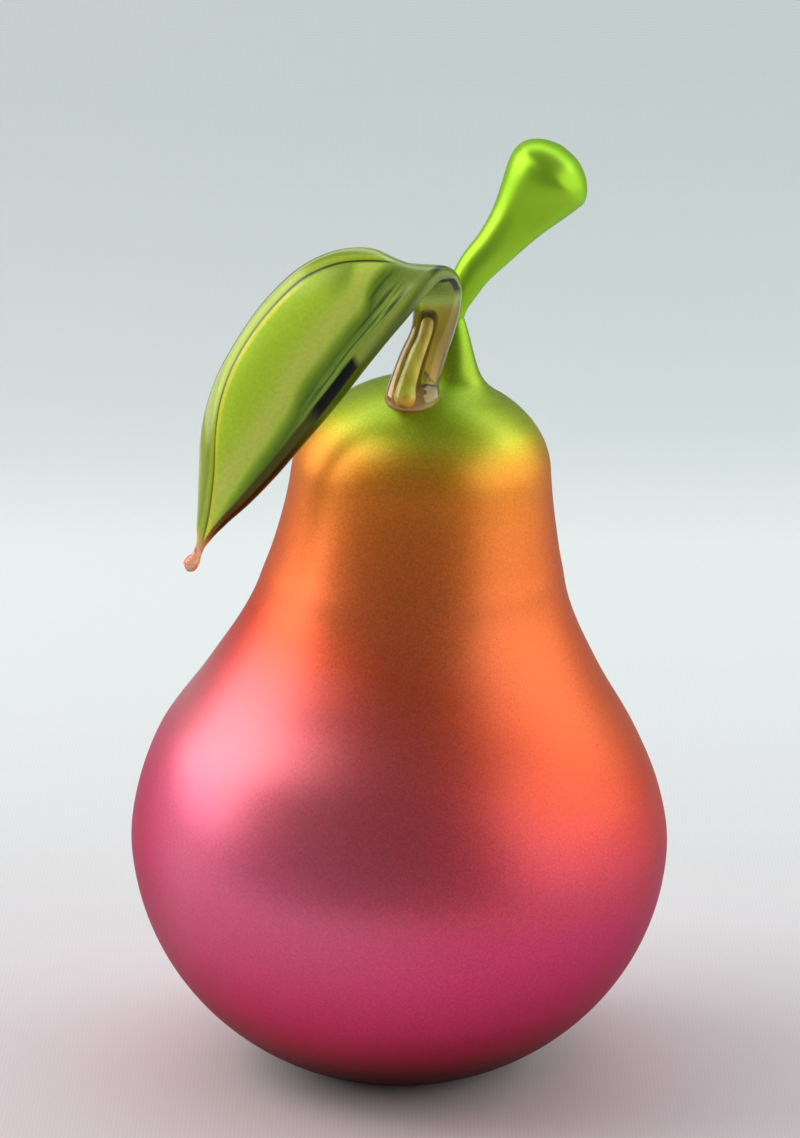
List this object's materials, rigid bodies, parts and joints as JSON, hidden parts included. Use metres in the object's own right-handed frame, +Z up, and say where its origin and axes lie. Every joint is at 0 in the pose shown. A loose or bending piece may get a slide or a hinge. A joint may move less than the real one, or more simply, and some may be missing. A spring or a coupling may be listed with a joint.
{
  "type": "glass pear",
  "caption": "Decorative hand-blown glass pear with a drawn-up neck, a flared leaning stem and one folded leaf that arches over its shoulder.",
  "frame": {"origin": "middle of the flat foot that the pear stands on", "axes": "+Z up from the foot to the stem's end, -Y to the viewer of the front, +X to the viewer's right, where the stem leans"},
  "size_m": [0.109, 0.109, 0.1915],
  "materials": {
    "satin_red_glass": "satin, metallic, shaded from lime over orange and red to magenta",
    "satin_lime_glass": "satin, metallic",
    "cased_green_glass": "glossy, clear casing over a satin green core"
  },
  "bodies": {
    "root": {"body": "satin_red_glass", "stem": "satin_lime_glass", "leaf": "cased_green_glass"}
  },
  "joints": []
}
